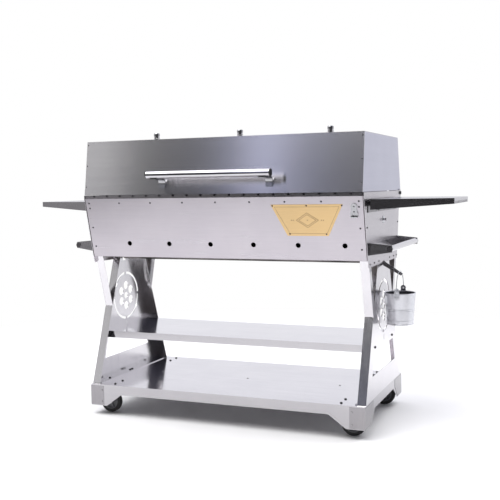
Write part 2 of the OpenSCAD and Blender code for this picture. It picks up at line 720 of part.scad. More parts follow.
placed() caster_fork(1, -1);  // caster_fork_fr
placed() caster_fork(-1, 1);  // caster_fork_rl
placed() caster_fork(1, 1);  // caster_fork_rr
placed() tyre(-1, -1);  // tyre_fl
placed() tyre(1, -1);  // tyre_fr
placed() tyre(-1, 1);  // tyre_rl
placed() tyre(1, 1);  // tyre_rr
placed() hub(-1, -1);  // hub_fl
placed() hub(1, -1);  // hub_fr
placed() hub(-1, 1);  // hub_rl
placed() hub(1, 1);  // hub_rr
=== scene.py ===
import bpy
import bmesh
import math
from mathutils import Matrix, Vector


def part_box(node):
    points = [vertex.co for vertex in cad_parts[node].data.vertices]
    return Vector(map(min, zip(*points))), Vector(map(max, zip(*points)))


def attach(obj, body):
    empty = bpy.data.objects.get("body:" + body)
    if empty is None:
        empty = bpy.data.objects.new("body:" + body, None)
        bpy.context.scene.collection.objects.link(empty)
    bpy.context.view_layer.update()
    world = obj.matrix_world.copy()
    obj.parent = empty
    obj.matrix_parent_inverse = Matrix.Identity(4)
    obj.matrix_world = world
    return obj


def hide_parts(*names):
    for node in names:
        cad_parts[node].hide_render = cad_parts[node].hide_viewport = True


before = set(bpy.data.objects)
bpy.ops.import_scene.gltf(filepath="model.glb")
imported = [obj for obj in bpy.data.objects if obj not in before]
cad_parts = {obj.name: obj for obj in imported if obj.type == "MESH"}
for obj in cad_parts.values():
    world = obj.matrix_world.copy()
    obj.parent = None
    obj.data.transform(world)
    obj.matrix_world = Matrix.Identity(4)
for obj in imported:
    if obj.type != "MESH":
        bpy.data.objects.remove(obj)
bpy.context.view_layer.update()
scene = bpy.context.scene
scene.view_settings.view_transform = "Standard"
MM = 0.001                                # sizes below are in metres, most written as a count of MM
SHARP_EDGE = math.radians(35)             # a detail piece's faces that meet more sharply show an edge

# ---- materials ----


def node_tree(name):
    """A new material, its node tree and its shader."""
    material = bpy.data.materials.new(name)
    material.use_nodes = True
    tree = material.node_tree
    return material, tree, tree.nodes["Principled BSDF"]


def noise(tree, scale, detail, seed=0.0):
    """Noise in object coordinates, with its scale along each axis in waves per metre."""
    coords = tree.nodes.new("ShaderNodeTexCoord")
    mapping = tree.nodes.new("ShaderNodeMapping")
    mapping.inputs["Scale"].default_value = scale
    mapping.inputs["Location"].default_value = (seed, seed * 0.7, seed * 1.3)
    texture = tree.nodes.new("ShaderNodeTexNoise")
    texture.inputs["Scale"].default_value = 1.0
    texture.inputs["Detail"].default_value = detail
    texture.inputs["Roughness"].default_value = 0.6
    tree.links.new(coords.outputs["Object"], mapping.inputs["Vector"])
    tree.links.new(mapping.outputs["Vector"], texture.inputs["Vector"])
    return texture.outputs["Fac"]


def remap(tree, value, low, high, from_low=0.3, from_high=0.7):
    """Maps a value's range, by default where noise mostly lies, to low..high."""
    node = tree.nodes.new("ShaderNodeMapRange")
    node.inputs["From Min"].default_value = from_low
    node.inputs["From Max"].default_value = from_high
    node.inputs["To Min"].default_value = low
    node.inputs["To Max"].default_value = high
    tree.links.new(value, node.inputs["Value"])
    return node.outputs["Result"]


def colour_mix(tree, factor, dark, light, from_low=0.3, from_high=0.7):
    """A colour that runs from dark to light as the factor crosses its range."""
    ramp = tree.nodes.new("ShaderNodeValToRGB")
    ramp.color_ramp.elements[0].position = from_low
    ramp.color_ramp.elements[0].color = (*dark, 1)
    ramp.color_ramp.elements[1].position = from_high
    ramp.color_ramp.elements[1].color = (*light, 1)
    tree.links.new(factor, ramp.inputs["Fac"])
    return ramp.outputs["Color"]


def bump(tree, shader, height, strength, distance):
    """Gives the shader's surface a relief of the given height map, with its depth in metres."""
    node = tree.nodes.new("ShaderNodeBump")
    node.inputs["Strength"].default_value = strength
    node.inputs["Distance"].default_value = distance
    tree.links.new(height, node.inputs["Height"])
    tree.links.new(node.outputs["Normal"], shader.inputs["Normal"])


def multiply(tree, a, b):
    """The product of two colours."""
    node = tree.nodes.new("ShaderNodeMix")
    node.data_type = "RGBA"
    node.blend_type = "MULTIPLY"
    node.inputs["Factor"].default_value = 1.0
    tree.links.new(a, node.inputs["A"])
    tree.links.new(b, node.inputs["B"])
    return node.outputs["Result"]


def steel(name, dark, light, rough, grain="X", grain_bump=0.02, upright_shade=1.0, brushed=0.0,
          even=False):
    """Brushed stainless sheet: fine scratches along one axis, faint smudges and colour drift.

    Upright faces carry painted shade: their tone is multiplied by the factor given, so folded edges
    look darker than flat sheet.
    A brushed sheet spreads its reflections across the grain, by the anisotropy given. An even one has
    the same roughness all over, and otherwise the broad streaks vary it.
    """
    material, tree, shader = node_tree(name)
    fine = {"X": (14, 900, 900), "Y": (900, 14, 900), "Z": (900, 900, 14)}[grain]
    broad = {"X": (2, 60, 60), "Y": (60, 2, 60), "Z": (60, 60, 2)}[grain]
    scratches = noise(tree, fine, 3.0)
    streaks = noise(tree, broad, 3.0, seed=4.0)
    smudges = noise(tree, (5, 5, 5), 5.0, seed=9.0)
    tone = colour_mix(tree, scratches, dark, light)
    drift = colour_mix(tree, smudges, (0.93, 0.93, 0.94), (1.0, 1.0, 1.0))
    bands = colour_mix(tree, streaks, (0.95, 0.95, 0.955), (1.0, 1.0, 1.0))
    tone = multiply(tree, multiply(tree, tone, drift), bands)
    # Painted shade: faces that stand upright, as their normal shows, are darkened
    if upright_shade != 1.0:
        coords = tree.nodes.new("ShaderNodeTexCoord")
        axes = tree.nodes.new("ShaderNodeSeparateXYZ")
        tree.links.new(coords.outputs["Normal"], axes.inputs["Vector"])
        shade = colour_mix(tree, axes.outputs["Z"], (upright_shade,) * 3, (1.0,) * 3, 0.5, 0.8)
        tone = multiply(tree, tone, shade)
    tree.links.new(tone, shader.inputs["Base Color"])
    if even:
        shader.inputs["Roughness"].default_value = rough
    else:
        tree.links.new(remap(tree, streaks, rough * 0.9, rough * 1.1), shader.inputs["Roughness"])
    shader.inputs["Metallic"].default_value = 1.0
    if brushed:
        shader.inputs["Anisotropic"].default_value = brushed
        across = tree.nodes.new("ShaderNodeTangent")
        across.direction_type, across.axis = "RADIAL", grain
        tree.links.new(across.outputs["Tangent"], shader.inputs["Tangent"])
    bump(tree, shader, scratches, grain_bump, 0.06 * MM)
    return material


def galvanised(name, dark, light, rough):
    """Zinc coat with a soft spangle."""
    material, tree, shader = node_tree(name)
    coords = tree.nodes.new("ShaderNodeTexCoord")
    cells = tree.nodes.new("ShaderNodeTexVoronoi")
    cells.inputs["Scale"].default_value = 90.0
    tree.links.new(coords.outputs["Object"], cells.inputs["Vector"])
    separate = tree.nodes.new("ShaderNodeSeparateColor")
    tree.links.new(cells.outputs["Color"], separate.inputs["Color"])
    spangle = separate.outputs["Red"]
    stain = noise(tree, (14, 14, 9), 5.0, seed=2.0)
    tone = colour_mix(tree, spangle, dark, light, 0.0, 1.0)
    drift = colour_mix(tree, stain, (0.86, 0.87, 0.88), (1.0, 1.0, 1.0))
    tree.links.new(multiply(tree, tone, drift), shader.inputs["Base Color"])
    tree.links.new(remap(tree, spangle, rough * 0.85, rough * 1.2, 0, 1), shader.inputs["Roughness"])
    shader.inputs["Metallic"].default_value = 0.9
    bump(tree, shader, stain, 0.15, 0.4 * MM)
    return material


def plastic(name, dark, light, rough, grain=1400.0, strength=0.25):
    """Moulded plastic or rubber with a fine texture and a little dust."""
    material, tree, shader = node_tree(name)
    pores = noise(tree, (grain,) * 3, 2.0)
    dust = noise(tree, (22, 22, 30), 5.0, seed=6.0)
    tree.links.new(colour_mix(tree, dust, dark, light), shader.inputs["Base Color"])
    tree.links.new(remap(tree, dust, rough, min(1.0, rough * 1.3)), shader.inputs["Roughness"])
    bump(tree, shader, pores, strength, 0.2 * MM)
    return material


def cast_iron(name):
    """Dark iron with a coarse grit and patches of rust and ash."""
    material, tree, shader = node_tree(name)
    grit = noise(tree, (320, 320, 320), 6.0)
    patches = noise(tree, (12, 12, 12), 4.0, seed=3.0)
    tree.links.new(colour_mix(tree, patches, (0.02, 0.019, 0.018), (0.07, 0.062, 0.056)),
                   shader.inputs["Base Color"])
    tree.links.new(remap(tree, grit, 0.6, 0.9), shader.inputs["Roughness"])
    shader.inputs["Metallic"].default_value = 0.4
    bump(tree, shader, grit, 0.5, 0.6 * MM)
    return material


def soot_steel(name):
    """The inside of the firebox: steel with heat tint and soot."""
    material, tree, shader = node_tree(name)
    soot = noise(tree, (6, 6, 10), 6.0, seed=1.0)
    grain = noise(tree, (14, 700, 700), 3.0)
    tone = colour_mix(tree, soot, (0.05, 0.045, 0.042), (0.34, 0.31, 0.29), 0.35, 0.75)
    tree.links.new(tone, shader.inputs["Base Color"])
    tree.links.new(remap(tree, soot, 0.7, 0.35), shader.inputs["Roughness"])
    shader.inputs["Metallic"].default_value = 0.85
    bump(tree, shader, grain, 0.15, 0.1 * MM)
    return material


# Each look: its material's name, dark tone, light tone and roughness, then what sets it apart
MATERIALS = {
    "front": steel("front_steel", (0.51, 0.48, 0.51), (0.54, 0.51, 0.54), 0.30, grain_bump=0.0),
    "hood": steel("hood_steel", (0.51, 0.50, 0.515), (0.55, 0.54, 0.555), 0.18, grain_bump=0.0,
                  brushed=0.9, even=True),
    "hood_side": steel("hood_side_steel", (0.47, 0.47, 0.56), (0.50, 0.50, 0.60), 0.28, "Y", 0.0,
                       even=True),
    "end": steel("end_steel", (0.50, 0.475, 0.50), (0.53, 0.505, 0.53), 0.26, "Y", 0.0, even=True),
    "stand": steel("stand_steel", (0.68, 0.665, 0.68), (0.72, 0.705, 0.72), 0.21, "Z", 0.0),
    # The deck's upright lips and edges get painted shade, with their tone at 0.60
    "deck": steel("deck_steel", (0.77, 0.75, 0.77), (0.82, 0.80, 0.82), 0.13, grain_bump=0.004,
                  upright_shade=0.60),
    "corner": steel("corner_steel", (0.32, 0.31, 0.32), (0.37, 0.355, 0.365), 0.20, "Z", 0.004),
    # Painted shade: a dark steel for the shelf rails and push-handle plugs, which sit in shadow
    "dark": steel("dark_steel", (0.17, 0.16, 0.17), (0.24, 0.23, 0.24), 0.28),
    "shelf": steel("shelf_steel", (0.40, 0.385, 0.405), (0.46, 0.445, 0.465), 0.20),
    "push": steel("push_frame_steel", (0.56, 0.54, 0.57), (0.62, 0.60, 0.63), 0.20),
    # Painted shade: a darker steel for the hood handle brackets, vent caps and bottle opener, which sit
    # in shadow
    "strap": steel("strap_steel", (0.36, 0.36, 0.37), (0.44, 0.44, 0.45), 0.22, "Z"),
    "polished": steel("polished_tube", (0.53, 0.52, 0.54), (0.58, 0.57, 0.59), 0.09),
    "bolt": steel("bolt_steel", (0.05, 0.05, 0.052), (0.10, 0.10, 0.102), 0.32, "Z"),
    "bright_bolt": steel("bright_bolt_steel", (0.72, 0.72, 0.73), (0.82, 0.82, 0.83), 0.18, "Z"),
    "brass": steel("brass_sheet", (0.66, 0.47, 0.235), (0.72, 0.515, 0.27), 0.32, grain_bump=0.0),
    "engraved": steel("engraved_brass", (0.38, 0.26, 0.14), (0.45, 0.31, 0.17), 0.40),
    "zinc": galvanised("zinc_coat", (0.62, 0.64, 0.66), (0.78, 0.80, 0.82), 0.36),
    "bucket": galvanised("bucket_zinc", (0.76, 0.76, 0.79), (0.85, 0.85, 0.88), 0.36),
    # Painted shade for the inside of the bucket
    "inner_shade": galvanised("inner_shade_zinc", (0.12, 0.12, 0.13), (0.20, 0.20, 0.21), 0.45),
    "soot": soot_steel("soot_steel"),
    "iron": cast_iron("cast_iron"),
    "black": plastic("black_plastic", (0.012, 0.012, 0.013), (0.035, 0.035, 0.037), 0.42),
    "rubber": plastic("tyre_rubber", (0.010, 0.010, 0.011), (0.032, 0.031, 0.031), 0.62, 900.0, 0.4),
    "grey": plastic("hub_plastic", (0.10, 0.10, 0.11), (0.17, 0.17, 0.18), 0.40),
    "red": plastic("red_plastic", (0.45, 0.02, 0.015), (0.62, 0.04, 0.03), 0.25),
}

# The look of each CAD node. A few are hidden, because a detail piece below stands for them
NODE_LOOKS = {
    "front": ["firebox_front"],
    "hood": ["hood_cover"],
    "hood_side": ["hood_ends"],
    "end": ["notched_rims", "firebox_end_left", "firebox_end_right", "firebox_back", "motor_bracket"],
    "stand": ["end_frame_left", "end_frame_right", "vent_collars", "push_handle_tubes"],
    "deck": ["base_deck", "lower_shelf"],
    "corner": ["corner_plates"],
    # These parts get the darker steel as painted shade
    "strap": ["hood_handle_brackets", "vent_caps", "bottle_opener"],
    # The shelf rails and push-handle plugs get the dark steel as painted shade
    "dark": ["shelf_rails", "push_handle_plugs"],
    "shelf": ["side_shelf_left", "side_shelf_right", "drain_spout"],
    "push": ["push_handle_frames"],
    "polished": ["hood_handle_tube", "spit_rod"],
    "bolt": ["frame_bolts", "firebox_rivets", "hood_rivets", "hinge_bolts", "fork_left", "fork_right"],
    "brass": ["name_plate", "drive_socket"],
    "zinc": ["bucket_bail", "spit_bearings", "caster_plates", "caster_fork_fl", "caster_fork_fr",
             "caster_fork_rl", "caster_fork_rr", "thumb_screw_left", "thumb_screw_right"],
    "bucket": ["bucket"],
    "soot": ["firebox_floor"],
    "iron": ["charcoal_grate"],
    "black": ["hood_handle_plugs", "motor_housing", "power_inlet"],
    "rubber": ["tyre_fl", "tyre_fr", "tyre_rl", "tyre_rr"],
    "grey": ["hub_fl", "hub_fr", "hub_rl", "hub_rr"],
    "red": ["motor_switch"],
}


def paint(obj, look):
    """Gives an object one look and no other."""
    obj.data.materials.clear()
    obj.data.materials.append(MATERIALS[look])


for look, names in NODE_LOOKS.items():
    for name in names:
        paint(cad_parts[name], look)
unpainted = set(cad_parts) - {name for names in NODE_LOOKS.values() for name in names}
assert not unpainted, unpainted

# Folded and sheared sheet has slightly rounded edges, given here by their width in millimetres
SOFT_EDGES = {"hood_cover": 1.6, "hood_ends": 0.5, "firebox_front": 0.8, "firebox_back": 0.8,
              "firebox_end_left": 0.5, "firebox_end_right": 0.5, "base_deck": 0.8,
              "lower_shelf": 0.8, "side_shelf_left": 0.6, "side_shelf_right": 0.6,
              "end_frame_left": 0.6, "end_frame_right": 0.6, "push_handle_frames": 0.5,
              "hood_handle_brackets": 0.9, "motor_housing": 2.0, "vent_caps": 0.6,
              "corner_plates": 0.4, "name_plate": 0.4, "bottle_opener": 0.6, "motor_switch": 0.8}
for name, width in SOFT_EDGES.items():
    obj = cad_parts[name]
    clean = obj.modifiers.new("flat_faces", "DECIMATE")
    clean.decimate_type = "DISSOLVE"
    clean.angle_limit = math.radians(1.0)
    edge = obj.modifiers.new("soft_edges", "BEVEL")
    edge.width = width * MM
    edge.segments = 2
    edge.limit_method = "ANGLE"
    edge.angle_limit = math.radians(40)
    flat = obj.modifiers.new("flat_shading", "WEIGHTED_NORMAL")
    flat.keep_sharp = True
    flat.weight = 100

# ---- detail pieces ----


def piece(name, build, look, body, stands_for=()):
    """Makes an object of a bmesh that is built in the CAD's frame, and ties it to a body."""
    bmesh.ops.recalc_face_normals(build, faces=build.faces)
    mesh = bpy.data.meshes.new(name)
    build.to_mesh(mesh)
    build.free()
    mesh.shade_smooth()
    mesh.set_sharp_from_angle(angle=SHARP_EDGE)
    obj = bpy.data.objects.new(name, mesh)
    scene.collection.objects.link(obj)
    paint(obj, look)
    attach(obj, body)
    if stands_for:
        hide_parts(*stands_for)


def lathe(build, profile, place, steps):
    """Turns an outline of (radius, height) points about Z and puts the shape at a place."""
    rings = []
    for radius, height in profile:
        on_axis = radius < 1e-7
        angles = [0.0] if on_axis else [2 * math.pi * k / steps for k in range(steps)]
        points = [Vector((radius * math.cos(a), radius * math.sin(a), height)) for a in angles]
        rings.append([build.verts.new(place @ point) for point in points])
    for low, high in zip(rings, rings[1:]):
        for k in range(steps):
            n = k + 1
            corners = (low[k % len(low)], low[n % len(low)], high[n % len(high)], high[k % len(high)])
            corners = list(dict.fromkeys(corners))
            if len(corners) > 2:
                build.faces.new(corners)


def block(build, low, high, place=Matrix()):
    """A box between two corners, put at a place."""
    low, high = Vector(low), Vector(high)
    size = Matrix.Diagonal((*(high - low), 1.0))
    bmesh.ops.create_cube(build, size=1.0, matrix=place @ Matrix.Translation((low + high) / 2) @ size)


def arc(centre, radius, start, end, steps=6):
    """Points of an arc in the (radius, height) plane, with its angles in degrees."""
    angles = [math.radians(start + (end - start) * k / steps) for k in range(steps + 1)]
    return [(centre[0] + radius * math.cos(a), centre[1] + radius * math.sin(a)) for a in angles]


def facing(origin, direction):
    """A place whose +Z points along a direction."""
    return Matrix.Translation(origin) @ Vector(direction).to_track_quat("Z", "Y").to_matrix().to_4x4()


def dome(build, place, radius, height):
    """A rivet's or screw's rounded head."""
    crown = [(radius * math.cos(a), height * math.sin(a)) for a in (0.35, 0.75, 1.15)]
    lathe(build, [(0.0, 0.0), (radius, 0.0)] + crown + [(0.0, height)], place, 20)


def hex_bolt(build, place, radius, height):
    """A hexagon head on a round washer, of the radius and height given for both together."""
    washer = 0.25 * height
    head = 0.8 * radius
    lathe(build, [(0.0, 0.0), (radius, 0.0), (radius, washer * 0.8), (radius * 0.96, washer),
                  (0.0, washer)], place, 24)
    lathe(build, [(0.0, washer), (head, washer), (head, height * 0.88), (head * 0.84, height),
                  (0.0, height)], place, 6)


def islands(node):
    """The lowest and highest corners of each separate solid in a CAD node, in a fixed order."""
    mesh = bmesh.new()
    mesh.from_mesh(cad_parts[node].data)
    bmesh.ops.remove_doubles(mesh, verts=mesh.verts, dist=1e-6)
    left, boxes = set(mesh.verts), []
    while left:
        stack, part = [left.pop()], []
        while stack:
            vert = stack.pop()
            part.append(vert.co.copy())
            for edge in vert.link_edges:
                other = edge.other_vert(vert)
                if other in left:
                    left.remove(other)
                    stack.append(other)
        boxes.append((Vector([min(p[i] for p in part) for i in range(3)]),
                      Vector([max(p[i] for p in part) for i in range(3)])))
    mesh.free()
    return sorted(boxes, key=lambda box: tuple(box[0]))


def frame_fasteners():
    """Hexagon bolts where the CAD has plain heads; those in the middle of the deck are bright domes."""
    middle_reach = 500 * MM
    dark, bright = bmesh.new(), bmesh.new()
    for low, high in islands("frame_bolts"):
        size = high - low
        thin = min(range(3), key=lambda i: size[i])
        direction = Vector([1.0 if i == thin else 0.0 for i in range(3)])
        base = (low + high) / 2
        if thin == 0 and base.x < 0:
            direction = -direction
        base[thin] -= direction[thin] * size[thin] / 2
        radius = max(size) / 2
        if thin == 2 and abs(base.x) < middle_reach:
            dome(bright, facing(base, direction), radius, size[thin])
        else:
            hex_bolt(dark, facing(base, direction), radius, size[thin])
    piece("stand_bolts", dark, "bolt", "roaster", ["frame_bolts"])
    piece("deck_screws", bright, "bright_bolt", "roaster")


def wheel(corner):
    """A tyre with round shoulders and two grooves, and a hub with a boss and six ribs."""
    low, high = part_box("tyre_" + corner)
    place = facing((Vector(low) + Vector(high)) / 2, (0, 1, 0))
    outer, half = (high[2] - low[2]) / 2, (high[1] - low[1]) / 2
    inner = 36 * MM
    body = "wheel_" + corner
    shoulder, chamfer, lip = 4.5 * MM, 1.5 * MM, 2 * MM
    groove, depth = 1.0 * MM, 1.6 * MM
    tread = []
    for middle in (-4 * MM, 4 * MM):
        tread += [(outer, middle - groove * 1.4), (outer - depth, middle - groove),
                  (outer - depth, middle + groove), (outer, middle + groove * 1.4)]
    tyre = bmesh.new()
    lathe(tyre, [(inner, -half + chamfer), (inner + lip, -half)]
          + arc((outer - shoulder, -half + shoulder), shoulder, -90, 0) + tread
          + arc((outer - shoulder, half - shoulder), shoulder, 0, 90)
          + [(inner + lip, half), (inner, half - chamfer), (inner, -half + chamfer)], place, 96)
    piece("tread_" + corner, tyre, "rubber", body, ["tyre_" + corner])
    bore, boss, web = 4.06 * MM, 11 * MM, 4 * MM
    half_outline = [(bore, 15 * MM), (boss - 1 * MM, 15 * MM), (boss, 14 * MM), (boss + 1.5 * MM, web),
                    (30 * MM, web), (31.5 * MM, 11 * MM), (32.5 * MM, 12 * MM), (inner, 12 * MM)]
    outline = [(radius, -height) for radius, height in half_outline] + half_outline[::-1]
    hub = bmesh.new()
    lathe(hub, outline + outline[:1], place, 64)
    ribs, rib_end, rib_half, rib_side = 6, 31.2 * MM, 1.5 * MM, 10 * MM
    for k in range(ribs):
        turned = place @ Matrix.Rotation(2 * math.pi * k / ribs, 4, "Z")
        block(hub, (boss - 1 * MM, -rib_half, -rib_side), (rib_end, rib_half, rib_side), turned)
    piece("hub_disc_" + corner, hub, "grey", body, ["hub_" + corner])


def bucket():
    """Spun bucket with a rolled rim, three beads, a foot ring, a side seam and riveted ears.

    A dark skin on both sides of the inner face gives the inside painted shade, a darker zinc than the
    outside.
    """
    low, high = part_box("bucket")
    middle = Vector(((low[0] + high[0]) / 2, (low[1] + high[1]) / 2, 0))
    at = Matrix.Translation(middle)
    rim_r, base_z = (high[0] - low[0]) / 2, low[2]
    foot_r, rim_z = 56.5 * MM, base_z + 132 * MM
    under_z, floor_z = base_z + 4 * MM, base_z + 5.5 * MM
    wall_low = base_z + 6 * MM
    roll, gauge, bead_depth = 2.2 * MM, 1.4 * MM, 1.3 * MM

    def wall(z):
        """The outer radius of the tapered wall at a height."""
        share = (z - base_z) / (rim_z - base_z)
        return foot_r - 1.5 * MM + share * (rim_r - roll - foot_r + 0.6 * MM)

    def bead(above_base, half_height):
        """Points up the wall and round a bead, which swells out from it."""
        z = base_z + above_base
        return [(wall(z) + bead_depth * math.cos(a), z + half_height * math.sin(a))
                for a in (-math.pi / 2, -1.0, -0.4, 0.4, 1.0, math.pi / 2)]

    underside = [(0.0, under_z), (foot_r - 3 * MM, under_z), (foot_r - 2 * MM, base_z)]
    outside = [(foot_r, base_z + 0.5 * MM), (foot_r, under_z), (wall(wall_low), floor_z)]
    outside += bead(18 * MM, 1.2 * MM) + bead(57 * MM, 2.2 * MM) + bead(64 * MM, 2.2 * MM)
    rim = arc((rim_r - roll, rim_z - roll), roll, -60, 200, 12)
    top_r, top_z = wall(rim_z) - gauge, rim_z - 5 * MM
    low_r, low_z = wall(wall_low) - gauge, base_z + 7 * MM
    floor_r = wall(base_z) - 4 * MM
    inside = [(top_r, top_z), (low_r, low_z), (floor_r, floor_z), (0.0, floor_z)]
    shell = bmesh.new()
    lathe(shell, underside + outside + rim + inside, at, 96)

    seam = at @ Matrix.Rotation(math.radians(-115), 4, "Z")
    seam_half, seam_step, overlap = 2.5 * MM, 9.6 * MM, 0.2 * MM
    for k in range(12):
        z = base_z + 8 * MM + k * seam_step
        block(shell, (wall(z) - 1 * MM, -seam_half, z),
              (wall(z) + 0.9 * MM, seam_half, z + seam_step + overlap), seam)

    ear_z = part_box("bucket_bail")[0][2] + 1.6 * MM
    eye_r, ear_r = 3 * MM, 11 * MM
    ear_outline = [(eye_r, -1 * MM), (ear_r, -1 * MM), (ear_r, 1 * MM), (9.5 * MM, 1.4 * MM),
                   (8 * MM, 0.8 * MM), (5 * MM, 0.8 * MM), (4 * MM, 1.4 * MM), (eye_r, 1.2 * MM),
                   (eye_r, -1 * MM)]
    for side in (-1, 1):
        foot = middle + Vector((0, side * (rim_r - 2 * MM), 0))
        lathe(shell, ear_outline, facing(foot + Vector((0, 0, ear_z)), (0, side, 0)), 32)
        block(shell, foot + Vector((-ear_r, -1 * MM, rim_z - 22 * MM)),
              foot + Vector((ear_r, 1 * MM, ear_z - 6 * MM)))
        for x in (-6 * MM, 6 * MM):
            rivet = foot + Vector((x, side * 1 * MM, rim_z - 16 * MM))
            dome(shell, facing(rivet, (0, side, 0)), 2.6 * MM, 1.4 * MM)
    piece("bucket_shell", shell, "bucket", "bucket", ["bucket"])

    # Painted shade inside the bucket: a dark zinc skin over the inner face
    inner_shade, gap = bmesh.new(), 0.5 * MM
    lathe(inner_shade, [(0.0, floor_z + gap), (floor_r, floor_z + gap), (low_r - gap, low_z + gap),
                   (top_r - gap, top_z), (top_r + gap, top_z), (low_r + gap, low_z - gap),
                   (floor_r, floor_z - gap), (0.0, floor_z - gap)], at, 96)
    piece("bucket_inner_shade", inner_shade, "inner_shade", "bucket")


def plate_trim():
    """Dark rivets, a border line and two plain lozenges on the blank brass plate."""
    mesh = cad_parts["name_plate"].data
    face = max(mesh.polygons, key=lambda polygon: polygon.area)
    normal = face.normal.copy()
    if normal.y > 0:
        normal = -normal
    across, upward = Vector((1, 0, 0)), Vector((0, 0, 1))
    up = normal.cross(across)
    if up.z < 0:
        up = -up
    low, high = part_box("name_plate")
    middle = (Vector(low) + Vector(high)) / 2
    # The rivets stand above the plate's outer face, so only the points near its back count
    heights = [vertex.co.dot(normal) for vertex in mesh.vertices]
    just_over_plate = min(heights) + 1.7 * MM
    top = max(height for height in heights if height < just_over_plate)
    origin = middle + normal * (top - middle.dot(normal))
    place = Matrix.Translation(origin) @ Matrix((across, up, normal)).transposed().to_4x4()
    half_w, half_h, lean = 148 * MM, 63.5 * MM, 63 * MM
    inset, line, thick = 9 * MM, 0.8 * MM, 0.25 * MM
    reach_up, reach_top, reach_low = half_h - inset, half_w - inset * 1.6, half_w - lean - inset * 0.9
    border = [Vector((-reach_top, reach_up, 0)), Vector((reach_top, reach_up, 0)),
              Vector((reach_low, -reach_up, 0)), Vector((-reach_low, -reach_up, 0))]
    trim = bmesh.new()

    def outline(corners, width):
        """Raised strokes round a closed outline on the plate."""
        for a, b in zip(corners, corners[1:] + corners[:1]):
            along = (b - a).normalized()
            turn = Matrix((along, upward.cross(along), upward)).transposed().to_4x4()
            block(trim, (0, -width, 0), ((b - a).length, width, thick),
                  place @ Matrix.Translation(a) @ turn)

    outline(border, line)
    for reach_x, reach_y in ((46 * MM, 30 * MM), (36 * MM, 23 * MM)):
        outline([Vector((-reach_x, 0, 0)), Vector((0, reach_y, 0)),
                 Vector((reach_x, 0, 0)), Vector((0, -reach_y, 0))], line * 1.5)
    for x in (-66, -58, 0, 58, 66):
        dome(trim, place @ Matrix.Translation((x * MM, 0, 0)), 2.6 * MM, thick)
    piece("plate_lines", trim, "engraved", "roaster")
    rivets = bmesh.new()
    for x, y in ((-142, 59), (0, 59), (144, 59), (-78, -57), (74, -57)):
        dome(rivets, place @ Matrix.Translation((x * MM, y * MM, 0)), 3.7 * MM, 1.7 * MM)
    piece("plate_rivets", rivets, "bolt", "roaster")


def hinge_nuts():
    """A hexagon nut and washer over each hinge bolt's outer head."""
    radius, height, sunk = 8.4 * MM, 4.8 * MM, 4.9 * MM
    nuts = bmesh.new()
    for low, high in islands("hinge_bolts"):
        side = 1 if low[0] + high[0] > 0 else -1
        outer = high[0] if side > 0 else low[0]
        y, z = (low[1] + high[1]) / 2, (low[2] + high[2]) / 2
        hex_bolt(nuts, facing((outer - side * sunk, y, z), (side, 0, 0)), radius, height)
    piece("hinge_nuts", nuts, "bolt", "roaster")


def motor_details():
    """Raised louvres, a seam round three sides and cover screws on the gear motor's housing."""
    low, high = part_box("motor_housing")
    middle = (Vector(low) + Vector(high)) / 2
    louvre_half, louvre_out, louvre_tall, louvre_step = 22 * MM, 0.9 * MM, 3 * MM, 8 * MM
    from_corner = 8 * MM
    vents, screws = bmesh.new(), bmesh.new()
    for side, y in ((-1, low[1]), (1, high[1])):
        for k in range(6):
            z = low[2] + 20 * MM + k * louvre_step
            block(vents, (middle.x - louvre_half, y - louvre_out, z),
                  (middle.x + louvre_half, y + louvre_out, z + louvre_tall))
        for x in (low[0] + from_corner, high[0] - from_corner):
            for z in (low[2] + from_corner, high[2] - from_corner):
                hex_bolt(screws, facing((x, y, z), (0, side, 0)), 3 * MM, 1.6 * MM)
    seam_x, seam_wide, seam_out = low[0] + 26 * MM, 1.2 * MM, 0.5 * MM
    block(vents, (seam_x, low[1] - seam_out, low[2] + 1 * MM),
          (seam_x + seam_wide, high[1] + seam_out, high[2] + 0.4 * MM))
    piece("motor_louvres", vents, "black", "roaster")
    piece("motor_screws", screws, "bright_bolt", "roaster")


frame_fasteners()
for corner in ("fl", "fr", "rl", "rr"):
    wheel(corner)
bucket()
plate_trim()
hinge_nuts()
motor_details()

# ---- camera ----


def studio_camera():
    """A long lens off the object's front right corner, turned left, tilted down and a little rolled."""
    body_middle_y = 43.5 * MM
    place = Vector((1.4510, body_middle_y - 3.4686, 1.0018))
    yaw, pitch, roll = 0.392, -0.0763, -0.0168
    forward = Vector((-math.sin(yaw) * math.cos(pitch), math.cos(yaw) * math.cos(pitch),
                      math.sin(pitch)))
    level_right = Vector((math.cos(yaw), math.sin(yaw), 0.0))
    level_up = level_right.cross(forward)
    right = level_right * math.cos(roll) + level_up * math.sin(roll)
    up = level_up * math.cos(roll) - level_right * math.sin(roll)
    turn = Matrix((right, up, -forward)).transposed()
    data = bpy.data.cameras.new("camera")
    data.sensor_width = 36.0
    data.lens = 60.84
    camera = bpy.data.objects.new("camera", data)
    camera.matrix_world = Matrix.Translation(place) @ turn.to_4x4()
    scene.collection.objects.link(camera)
    scene.camera = camera


# ---- studio ----


